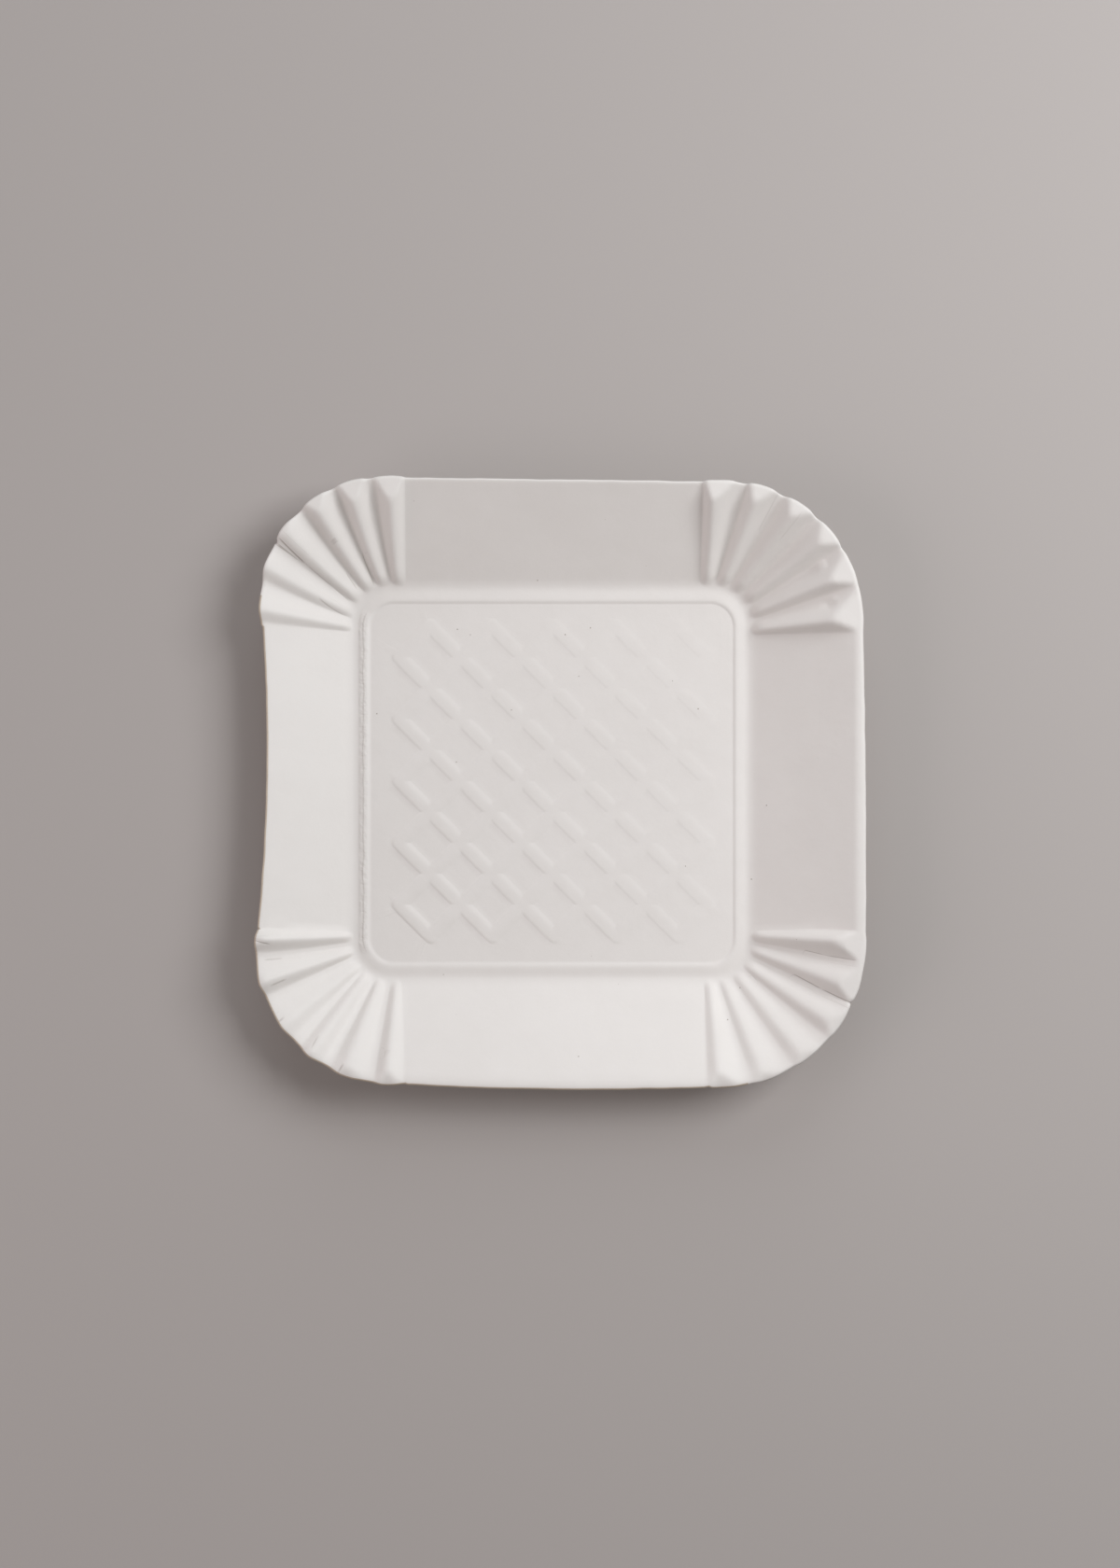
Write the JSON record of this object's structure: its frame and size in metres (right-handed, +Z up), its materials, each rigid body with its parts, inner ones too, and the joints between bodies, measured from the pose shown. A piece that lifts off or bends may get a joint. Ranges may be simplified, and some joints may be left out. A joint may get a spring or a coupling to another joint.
{
  "type": "paper food tray",
  "caption": "Shallow square food tray pressed from coated board, with sloping walls, fluted corners, a narrow flange and a diamond lattice embossed in its base.",
  "frame": {"origin": "middle of the foot's underside, in the plane that the tray rests on", "axes": "+Z up, square to the base; +X and +Y square to two walls, +X towards the side where the flange is widest"},
  "size_m": [0.1764, 0.1762, 0.018],
  "materials": {
    "coated_board": "matte"
  },
  "bodies": {
    "root": {"food_tray": "coated_board"}
  },
  "joints": []
}
